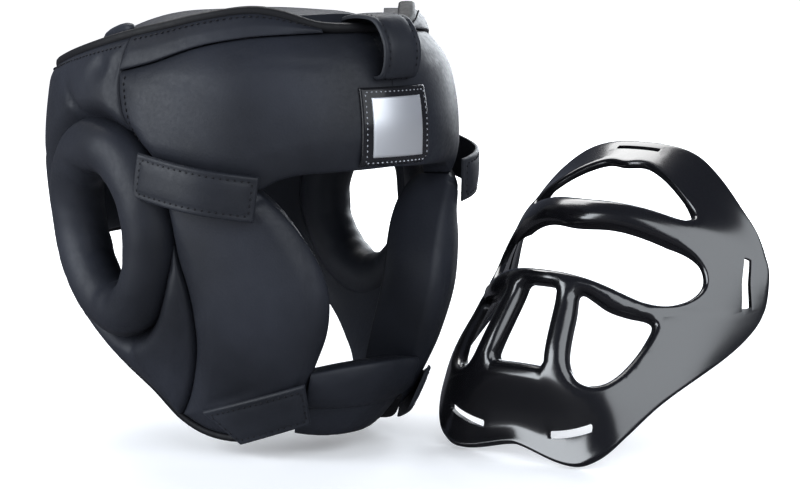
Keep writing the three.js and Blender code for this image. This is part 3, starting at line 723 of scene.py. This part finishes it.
def bound_edge(name, rows, above, offset, closed, replaced, ro, rs, n=260):
    """A binding along a seam, some mm above it and with its middle at an offset from the head form."""
    c = seam(rows)
    path, out = [], []
    for k in range(n if closed else n + 1):
        p = c.at(k / n)
        path.append(on_head(p.x / PER_DEG, p.y + above, offset))
        out.append(on_head(p.x / PER_DEG, p.y + above, offset + 5) - path[-1])
    verts, faces = sweep(path, out, oval(ro, rs, 16, 0.6), closed)
    make(name, verts, faces, BINDING, "edge_binding", replaced)


bound_edge("rim_binding_look", top_loop + around_back(top_loop), 0.8, -6.0, True, "rim_binding", 4.8, 2.9)
bound_edge("lower_binding_look", low_loop + around_back(low_loop), -1.4, -8.5, False, "lower_binding",
           4.2, 2.2)


# ---------- tabs
TAB_EDGE, TAB_STITCH = 1.3, 3.2
TAB_GROOVE = dict(depth=0.45, width=0.7)
TAB_BULGE = dict(high=0.5, start=3, reach=5)


def tab(name, replaced, surf, length, side=1, nu=48, nv=20):
    """A strap tab, stitched round: surf(i, j) gives its underside, i along and j across."""
    def normal(i, j):
        a = surf(min(i + 0.01, 1), j) - surf(max(i - 0.01, 0), j)
        b = surf(i, min(j + 0.02, 1)) - surf(i, max(j - 0.02, 0))
        n = a.cross(b).normalized()
        mid = surf(i, j)
        return n if n.dot(Vector((mid.x, mid.y, 0.3 * (mid.z + 90)))) > 0 else -n

    def top(i, j):
        d = min(i * length, (1 - i) * length, j * TAB_W, (1 - j) * TAB_W)
        e = clamp(1 - d / TAB_EDGE)
        groove = TAB_GROOVE["depth"] * math.exp(-((d - TAB_STITCH) / TAB_GROOVE["width"]) ** 2)
        bulge = TAB_BULGE["high"] * clamp((d - TAB_BULGE["start"]) / TAB_BULGE["reach"])
        body = TAB_T * (1 - 0.55 * (1 - math.sqrt(max(1 - e * e, 0))))
        return surf(i, j) + normal(i, j) * (body - groove + bulge)
    pts, faces = shell(nu, nv, top, surf, eased(nu, 0.6), eased(nv, 0.6))
    if side < 0:
        pts, faces = mirrored(pts), [tuple(reversed(f)) for f in faces]
    make(name, pts, faces, TAB, "tab_leather", replaced)
    di, dj = TAB_STITCH / length, TAB_STITCH / TAB_W
    for part in ([(i, dj) for i in steps(di, 1 - 2 * di, 12)],
                 [(1 - di, j) for j in steps(dj, 1 - 2 * dj, 6)],
                 [(i, 1 - dj) for i in steps(1 - di, 2 * di - 1, 12)],
                 [(di, j) for j in steps(1 - dj, 2 * dj - 1, 6)]):
        p = [top(i, j) + normal(i, j) * 0.1 for i, j in part]
        n = [normal(i, j) for i, j in part]
        if side < 0:
            p, n = mirrored(p), mirrored(n)
        thread.line(p, n)


def strap(start, end, lift, cut=0.0):
    """A strap's underside from one place on the head form to another, and its length."""
    s = Vector(((start[0] - shift(start[0])) * PER_DEG, -start[1] * HEIGHT))
    e = Vector(((end[0] - shift(end[0])) * PER_DEG, -end[1] * HEIGHT))
    run = e - s
    across = Vector((-run.y, run.x)).normalized() * TAB_W / 2

    def surf(i, j):
        p = s + run * (i + cut * j * (1 - i)) + across * (2 * j - 1)
        return on_head(p.x / PER_DEG, p.y, lift(i))
    return surf, run.length


def temple_lift(i):
    """The temple tab is sewn down at its start and arches off the pad."""
    return 1.6 + 3.2 * (1 - i) ** 2 + 8.5 * math.sin(math.pi * i ** 1.3)


def chin_lift(i):
    return 0.4 + 3 * i * i


for side, word in SIDES:
    surf, length = strap((76.5, 0.322), (45.5, 0.368), temple_lift)
    tab(f"temple_tab_{word}_look", f"temple_tab_{word}", surf, length, side)
    surf, length = strap((67, 0.932), (29.5, 0.848), chin_lift, cut=0.28)
    tab(f"chin_tab_{word}_look", f"chin_tab_{word}", surf, length, side)

# The forehead tab's line: shares of the front reach and of the height.
fore = Curve([(-0.66, -0.03), (-0.70, 0.006), (-0.78, 0.024), (-0.88, 0.029), (-0.965, 0.020),
              (-1.022, -0.022), (-1.028, -0.062), (-1.008, -0.092), (-0.966, -0.1)])
FORE_MM = 130   # one share of that line, in mm


def fore_surf(i, j):
    p = fore.at(i)
    return Vector(((j - 0.5) * TAB_W, p.x * FRONT_REACH, p.y * HEIGHT))


tab("forehead_tab_look", "forehead_tab", fore_surf, fore.length * FORE_MM, nu=80)

# ---------- badge: a stitched frame and a plain film
PATCH_W, PATCH_H, PATCH_DOWN = 46.0, 43.0, 0.2125
patch_angle = math.degrees(math.asin(PATCH_W / 2 / HALF_WIDTH))


def patch_surf(i, j, out):
    a = patch_angle * (1 - 2 * i)
    z = -PATCH_DOWN * HEIGHT + (0.5 - j) * PATCH_H
    sag = -5.0 * clamp((j - 0.86) / 0.14) ** 2
    return on_head(a, z, 0.5 + out + sag)


def patch_body(x0, x1, y0, y1, low, high, edge, n=30):
    """A film over part of the patch, from low to high mm and rounded over edge mm."""
    def at(i, j, out):
        return patch_surf(x0 + (x1 - x0) * i, y0 + (y1 - y0) * j, out)

    def top(i, j):
        w, h = (x1 - x0) * PATCH_W, (y1 - y0) * PATCH_H
        e = clamp(1 - min(i * w, (1 - i) * w, j * h, (1 - j) * h) / edge)
        return at(i, j, high - (high - low) * 0.6 * e * e)
    return shell(n, n, top, lambda i, j: at(i, j, low), eased(n, 0.6), eased(n, 0.6))


pts, faces = patch_body(0, 1, 0, 1, 0.0, 1.7, 1.4)
make("brow_patch_look", pts, faces, GLOSS_FRAME, "patch_film", "brow_patch")
pts, faces = patch_body(0.13, 0.87, 0.12, 0.88, 1.2, 2.1, 1.0)
make("badge_field", pts, faces, SILVER, "patch_film", None)
near, far = 0.055, 1 - 0.055
corners = [(near, near), (far, near), (far, far), (near, far), (near, near)]
for (a, b), (c, d) in zip(corners[:-1], corners[1:]):
    spots = list(zip(steps(a, c - a, 10), steps(b, d - b, 10)))
    pts = [patch_surf(i, j, 1.8) for i, j in spots]
    pale.line(pts, [(patch_surf(i, j, 3) - p).normalized() for (i, j), p in zip(spots, pts)])

# ---------- face shield
# Rows from the forehead to the chin, by the share t down the flat pattern: forward and up on the middle line,
# forward and up at the wing's end, and the power that shapes the way between them.
SHIELD = [(0.00, 0.000, 0.453, -0.016, 0.075, 2.60), (0.10, 0.147, 0.388, -0.016, 0.056, 2.35),
          (0.34, 0.470, 0.283, -0.008, 0.019, 2.10), (0.43, 0.550, 0.212, 0.000, 0.000, 2.10),
          (0.58, 0.814, 0.053, 0.008, -0.050, 2.10), (0.63, 0.814, 0.008, 0.016, -0.069, 2.20),
          (0.82, 1.000, -0.263, 0.039, -0.138, 2.90), (0.93, 0.953, -0.456, 0.062, -0.181, 5.50),
          (1.00, 0.992, -0.547, 0.085, -0.212, 6.00)]
ROWS = np.array(SHIELD)
edge_top = [(0, 0), (0.37, 0), (0.547, 0.018), (0.67, 0.038), (0.758, 0.06), (0.848, 0.09), (0.9, 0.16),
            (0.927, 0.245), (0.95, 0.35), (0.965, 0.48)]
edge_bottom = [(0.973, 0.66), (0.972, 0.76), (0.963, 0.87), (0.93, 0.918), (0.87, 0.926), (0.802, 0.935),
               (0.723, 0.96), (0.63, 0.983), (0.54, 0.993), (0.42, 1), (0, 1)]
forehead_hole = ([(0, 0.112), (0.1, 0.1), (0.18, 0.105), (0.343, 0.14), (0.495, 0.195), (0.59, 0.245)],
                 [(0.597, 0.268), (0.56, 0.295), (0.302, 0.31), (0.125, 0.323), (0, 0.328)])
eye_hole = ([(0, 0.432), (0.247, 0.42), (0.432, 0.425), (0.6, 0.441), (0.69, 0.462), (0.748, 0.51)],
            [(0.775, 0.585), (0.758, 0.655), (0.713, 0.685), (0.64, 0.673), (0.517, 0.64), (0.378, 0.6),
             (0.205, 0.578), (0, 0.574)])
mouth_hole = [(0.122, 0.628), (0.19, 0.82), (-0.19, 0.82), (-0.122, 0.628)]
side_hole = [(0.275, 0.64), (0.46, 0.683), (0.645, 0.723), (0.655, 0.765), (0.645, 0.81), (0.61, 0.845),
             (0.55, 0.855), (0.49, 0.855), (0.405, 0.84), (0.352, 0.812), (0.318, 0.753), (0.295, 0.69)]
# Outlines are (q, t) pairs; q is 0 in the middle and 1 at the wing. AC and DN make flat mm of them.
AC, DN = 100.0, 180.0


def column(t, c):
    """A column of the table, smoothed over a short stretch of rows."""
    span = 0.045 * np.clip(np.minimum(t, 1 - t) / 0.06, 0, 1)
    return sum(0.2 * raw_column(t + d * span, c) for d in (-1, -0.5, 0, 0.5, 1))


def raw_column(t, c):
    x = np.asarray(t, float)
    k = np.clip(np.searchsorted(ROWS[:, 0], x, side="right") - 1, 0, len(ROWS) - 2)

    def sl(i):
        a, b = np.maximum(i - 1, 0), np.minimum(i + 1, len(ROWS) - 1)
        return (ROWS[b, c] - ROWS[a, c]) / (ROWS[b, 0] - ROWS[a, 0])
    h = ROWS[k + 1, 0] - ROWS[k, 0]
    s = np.clip((x - ROWS[k, 0]) / h, 0, 1)
    return ((2 * s ** 3 - 3 * s * s + 1) * ROWS[k, c] + (s ** 3 - 2 * s * s + s) * h * sl(k)
            + (3 * s * s - 2 * s ** 3) * ROWS[k + 1, c] + (s ** 3 - s * s) * h * sl(k + 1))


def skin(q, t):
    """Points of the shield's outer face, before it is put in its place."""
    q, t = np.asarray(q, float), np.clip(np.asarray(t, float), 0, 1)
    f, u, wf, wu, p = [column(t, c) for c in range(1, 6)]
    s = np.abs(q) ** p
    fwd = SH["depth"] * (f + (wf - f) * s)
    up = SH["rise"] * (u + (wu - u) * s)
    lobe = SH["lobe"] * np.sin(np.pi * np.clip(np.abs(q) / 0.9, 0, 1)) ** 1.5
    return np.stack([SH["half"] * q, -fwd, up - lobe * np.clip((t - 0.8) / 0.2, 0, 1) ** 2], -1)


def frame_at(q, t, e=0.006):
    """The skin's two directions and its normal."""
    a = (skin(q + e, t) - skin(q - e, t)) / (2 * e)
    t0, t1 = np.maximum(t - e, 0), np.minimum(t + e, 1)
    b = (skin(q, t1) - skin(q, t0)) / (t1 - t0)[:, None]
    n = np.cross(a, b)
    return a, b, n / np.linalg.norm(n, axis=1)[:, None]


def rounded(points, radius, smooth=0, step=1.3):
    """A closed outline in flat units, with its corners rounded, resampled evenly."""
    p = np.array([(x * AC, -y * DN) for x, y in points])
    if smooth:
        c = Curve([tuple(v) for v in p], closed=True)
    else:
        out = []
        n = len(p)
        for k in range(n):
            a, b, d = p[k - 1], p[k], p[(k + 1) % n]
            ra = min(radius, np.linalg.norm(a - b) / 2.2)
            rd = min(radius, np.linalg.norm(d - b) / 2.2)
            pa, pd = b + (a - b) / np.linalg.norm(a - b) * ra, b + (d - b) / np.linalg.norm(d - b) * rd
            for s in np.linspace(0, 1, 7):
                out.append(pa * (1 - s) ** 2 + 2 * b * s * (1 - s) + pd * s * s)
        c = Curve([tuple(v) for v in out], closed=True, steps=3)
    n = max(int(c.length / step), 12)
    out = np.array([list(c.at(k / n)) for k in range(n)])
    for _ in range(smooth):
        out = 0.25 * np.roll(out, 1, axis=0) + 0.5 * out + 0.25 * np.roll(out, -1, axis=0)
    return out


def mirror_half(top, bottom):
    h = list(top) + list(bottom)
    return h + [(-x, y) for x, y in reversed(h[1:-1])]


def slot_box(q, t, dq, dt, width):
    """The corners of a slot with its middle at (q, t), its length as (dq, dt) and its width in mm."""
    n = math.hypot(dq * AC, dt * DN)
    sq, st = -dt * DN / n * width / AC, dq * AC / n * width / DN
    return [(q + (a * dq + b * sq) / 2, t + (a * dt + b * st) / 2)
            for a, b in ((-1, -1), (1, -1), (1, 1), (-1, 1))]


def other(points):
    return [(-x, y) for x, y in reversed(points)]


chin_slot = slot_box(0.38, 0.94, 0.29, -0.025, SLOT)
wing_slot = slot_box(0.8925, 0.544, 0.049, 0.328, SLOT)
top_slot = slot_box(0, 0.034, 0.316, 0, SLOT)
outline = rounded(mirror_half(edge_top, edge_bottom), 0, smooth=12)
# Each outline, with how far its edge rolls in.
loops = [(outline, 0.6), (rounded(mirror_half(*forehead_hole), 0, smooth=14), 1.0),
         (rounded(mirror_half(*eye_hole), 0, smooth=60), 1.0), (rounded(mouth_hole, 4.5), 1.0),
         (rounded(side_hole, 0, smooth=10), 1.0), (rounded(other(side_hole), 0, smooth=10), 1.0)]
loops += [(rounded(slot, 1.0, step=1.0), 0.0)
          for slot in (chin_slot, other(chin_slot), wing_slot, other(wing_slot), top_slot)]


def signed(p):
    """The area inside an outline, negative if it runs clockwise."""
    x, y = p[:, 0], p[:, 1]
    return 0.5 * np.sum(x * np.roll(y, -1) - np.roll(x, -1) * y)


def inside(poly, pts):
    x, y = pts[:, 0][:, None], pts[:, 1][:, None]
    x0, y0 = poly[:, 0][None], poly[:, 1][None]
    x1, y1 = np.roll(poly[:, 0], -1)[None], np.roll(poly[:, 1], -1)[None]
    hit = ((y0 > y) != (y1 > y)) & (x < (x1 - x0) * (y - y0) / np.where(y1 == y0, 1e-9, y1 - y0) + x0)
    return hit.sum(1) % 2 == 1


def material_at(pts):
    """Which points lie inside the outline and outside every opening."""
    ok = inside(outline, pts)
    for poly, _ in loops[1:]:
        ok &= ~inside(poly, pts)
    return ok


BATCH = 2000


def nearest(pts):
    """For each point the nearest point on any outline, its distance in flat units and that outline's roll."""
    best = np.full(len(pts), 1e9)
    foot = np.zeros_like(pts)
    roll = np.zeros(len(pts))
    for poly, r in loops:
        a, b = poly, np.roll(poly, -1, axis=0)
        for lo in range(0, len(pts), BATCH):
            p = pts[lo:lo + BATCH]
            ab = (b - a)[None]
            s = np.clip(((p[:, None] - a[None]) * ab).sum(2) / (ab ** 2).sum(2), 0, 1)
            c = a[None] + ab * s[:, :, None]
            d = np.linalg.norm(p[:, None] - c, axis=2)
            k = d.argmin(1)
            dm = d[np.arange(len(p)), k]
            win = dm < best[lo:lo + BATCH]
            idx = np.arange(lo, lo + len(p))[win]
            best[idx] = dm[win]
            foot[idx] = c[np.arange(len(p)), k][win]
            roll[idx] = r
    return foot, best, roll


# Rows of points beside rolled edges and slots, the grid's step and its distance from edges.
RIM_ROWS, SLOT_ROWS, GRID, GRID_OFF = (0.45, 1.0, 1.8, 2.8), (0.7,), 2.4, 3.6
# Radius of the rolled edges, what the bars add to it, and the lip on the inside.
RIM = dict(radius=2.6, bar=4.2, slot=0.25, lip=1.4, lip_bar=1.8, lip_reach=5.0)
CREASE = dict(depth=1.3, at=0.70, slope=0.10, middle=0.66, width=0.018, inner=0.6)


def flat_mesh():
    """Points and triangles of the flat pattern, with rows of points along every edge."""
    verts, edges, keep = [], [], []
    for poly, r in loops:
        base, n = len(verts), len(poly)
        verts += [tuple(v) for v in poly]
        edges += [(base + k, base + (k + 1) % n) for k in range(n)]
        sign = 1 if signed(poly) > 0 else -1
        if poly is not outline:
            sign = -sign
        t = np.roll(poly, -1, axis=0) - np.roll(poly, 1, axis=0)
        t /= np.linalg.norm(t, axis=1)[:, None]
        nrm = np.stack([-t[:, 1], t[:, 0]], 1) * sign
        for d in RIM_ROWS if r else SLOT_ROWS:
            pts = poly + nrm * d
            keep.append(pts[material_at(pts) & (nearest(pts)[1] > d * 0.82)])
    gx, gy = np.meshgrid(np.arange(2 - AC, AC - 1.9, GRID), np.arange(1 - DN, 0, GRID))
    grid = np.stack([gx.ravel(), gy.ravel()], 1)
    grid = grid[material_at(grid)]
    keep.append(grid[nearest(grid)[1] > GRID_OFF])
    verts += [tuple(v) for v in np.concatenate(keep)]
    out = delaunay_2d_cdt([Vector(v) for v in verts], edges, [], 0, 1e-5)
    P = np.array([list(v) for v in out[0]])
    F = np.array([f for f in out[2] if len(f) == 3])
    F = F[material_at(P[F].mean(1))]
    used = np.unique(F)
    remap = -np.ones(len(P), int)
    remap[used] = np.arange(len(used))
    return P[used], remap[F]


def ease(x, reach):
    return np.clip(x / reach, 0, 1)


def shield_mesh():
    """The shield as a closed shell: rolled in at its edges, creased on the wings and thicker at the bars."""
    P, F = flat_mesh()
    q, t = P[:, 0] / AC, np.clip(-P[:, 1] / DN, 0, 1)
    A, B, N = frame_at(q, t)
    foot, _, roll = nearest(P)
    dq, dt = (foot[:, 0] - P[:, 0]) / AC, -(foot[:, 1] - P[:, 1]) / DN
    real = np.linalg.norm(A * dq[:, None] + B * dt[:, None], axis=1)
    side = np.abs(q)
    bars = ease(0.72 - side, 0.15) * ease(t - 0.2, 0.1) * ease(0.9 - t, 0.06)
    radius = (RIM["radius"] + RIM["bar"] * bars) * roll + RIM["slot"]
    e = np.clip(1 - real / np.maximum(radius, 0.2), 0, 1)
    outer_in = radius * (1 - np.sqrt(np.maximum(1 - e * e, 0))) * np.where(roll > 0, 0.9, 0.3)
    line = CREASE["at"] + CREASE["slope"] * (side - CREASE["middle"])
    crease = (CREASE["depth"] * np.exp(-(((t - line) / CREASE["width"]) ** 2))
              * ease(side - 0.62, 0.05) * ease(0.87 - side, 0.2))
    wall = SH["wall"] + (SH["bar"] - SH["wall"]) * bars
    lip = np.clip(1 - real / RIM["lip_reach"], 0, 1) * (RIM["lip"] + RIM["lip_bar"] * bars)
    inner_in = wall + np.where(roll > 0, lip, 0) + crease * CREASE["inner"]
    on_skin, n0 = skin(q, t), len(P)
    V = np.concatenate([on_skin + N * (outer_in + crease)[:, None], on_skin + N * inner_in[:, None]])
    faces = [tuple(f) for f in F] + [tuple(n0 + f[::-1]) for f in F]
    edges = dict.fromkeys((f[k], f[(k + 1) % 3]) for f in F for k in range(3))
    faces += [(b, a, n0 + a, n0 + b) for a, b in edges if (b, a) not in edges]
    return V, [tuple(int(x) for x in f) for f in faces]


V, faces = shield_mesh()
ca, sa = math.cos(SH_PLACE["turn"] * RAD), math.sin(SH_PLACE["turn"] * RAD)
W = np.stack([SH_PLACE["x"] + V[:, 0] * ca - V[:, 1] * sa, SH_PLACE["y"] + V[:, 0] * sa + V[:, 1] * ca,
              SH_PLACE["z"] + V[:, 2]], 1)
make("face_shield_look", [Vector(v) for v in W.tolist()], faces, PLASTIC, "shield_plastic", "face_shield",
     sharp=50)

thread.done()
pale.done()

# ---------- floor, camera and lights
def pick(nt, factor, first, second):
    """One colour where the factor is 0 and the other where it is 1."""
    n = node(nt, "ShaderNodeMix", data_type="RGBA")
    n.inputs[6].default_value, n.inputs[7].default_value = first, second
    nt.links.new(factor, n.inputs[0])
    return n.outputs[2]


def floor_material():
    """Glows more the further out, so that it ends in the white background. Glossy rays see it dark."""
    m, nt, b = principled("floor_look", (0.93, 0.93, 0.94), 0.9)
    b.inputs["Specular IOR Level"].default_value = 0.1
    b.inputs["Emission Color"].default_value = (1, 1, 1, 1)
    co = node(nt, "ShaderNodeTexCoord")
    out = node(nt, "ShaderNodeVectorMath", operation="LENGTH")
    nt.links.new(co.outputs["Object"], out.inputs[0])
    glow = map_range(nt, out.outputs["Value"], 0.2, 1.0, 0.25, 0.95)
    ray = node(nt, "ShaderNodeLightPath")
    for kind, low, high in (("Is Camera Ray", 0.9, 1.0), ("Is Glossy Ray", 1.0, 0.1)):
        product = node(nt, "ShaderNodeMath", operation="MULTIPLY")
        nt.links.new(glow, product.inputs[0])
        nt.links.new(map_range(nt, ray.outputs[kind], low, high), product.inputs[1])
        glow = product.outputs[0]
    nt.links.new(glow, b.inputs["Emission Strength"])
    base = pick(nt, ray.outputs["Is Glossy Ray"], (0.93, 0.93, 0.94, 1), (0.05, 0.05, 0.06, 1))
    nt.links.new(base, b.inputs["Base Color"])
    return m


FLOOR_HALF, FLOOR_BELOW = 6, 0.0006   # in metres
floor_mesh = bpy.data.meshes.new("floor")
floor_mesh.from_pydata([(x * FLOOR_HALF, y * FLOOR_HALF, 0) for x, y in ((-1, -1), (1, -1), (1, 1), (-1, 1))],
                       [], [(0, 1, 2, 3)])
floor = bpy.data.objects.new("floor", floor_mesh)
bpy.context.scene.collection.objects.link(floor)
floor.location.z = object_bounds()[0][2] - FLOOR_BELOW
floor_mesh.materials.append(floor_material())
floor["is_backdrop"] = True

scene = bpy.context.scene
cam_data = bpy.data.cameras.new("camera")
cam = bpy.data.objects.new("camera", cam_data)
scene.collection.objects.link(cam)
az, el = VIEW_AZ * RAD, VIEW_EL * RAD
toward = Vector((math.sin(az) * math.cos(el), -math.cos(az) * math.cos(el), math.sin(el)))
cam.location = (TARGET + toward * VIEW_D) * MM
cam.rotation_euler = (-toward).to_track_quat("-Z", "Y").to_euler()
cam_data.sensor_width = SENSOR_W
cam_data.lens = PX_PER_MM * VIEW_D * SENSOR_W / PICTURE_W
cam_data.clip_end = 50
scene.camera = cam


def area(name, place, aim, size, size_y, power, color=(1, 1, 1)):
    data = bpy.data.lights.new(name, "AREA")
    data.shape, data.size, data.size_y, data.energy, data.color = "RECTANGLE", size, size_y, power, color
    ob = bpy.data.objects.new(name, data)
    scene.collection.objects.link(ob)
    ob.location = place
    ob.rotation_euler = (Vector(place) - Vector(aim)).to_track_quat("Z", "Y").to_euler()
    ob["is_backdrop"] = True


area("key_front", (-0.02, -1.6, 0.68), (0.12, -0.15, -0.13), 2.0, 1.5, 29, (0.9, 0.95, 1.0))
area("top_back", (0.38, 0.75, 1.0), (0.15, -0.1, -0.15), 1.0, 0.65, 13)
area("left", (-1.5, 0.35, 0.35), (-0.05, 0, -0.1), 1.2, 1.4, 36, (0.9, 0.95, 1.0))
area("right_back", (1.5, 0.6, 0.45), (0.05, -0.05, -0.08), 0.8, 1.1, 24, (0.9, 0.95, 1.0))

world = bpy.data.worlds.new("studio")
scene.world = world
world.use_nodes = True
world_tree = world.node_tree
background = world_tree.nodes["Background"]
seen = node(world_tree, "ShaderNodeLightPath").outputs["Is Camera Ray"]
world_tree.links.new(pick(world_tree, seen, (0.085, 0.095, 0.125, 1), (1, 1, 1, 1)), background.inputs["Color"])
background.inputs["Strength"].default_value = 1.0
scene.view_settings.view_transform = "Standard"
scene.view_settings.look = "None"
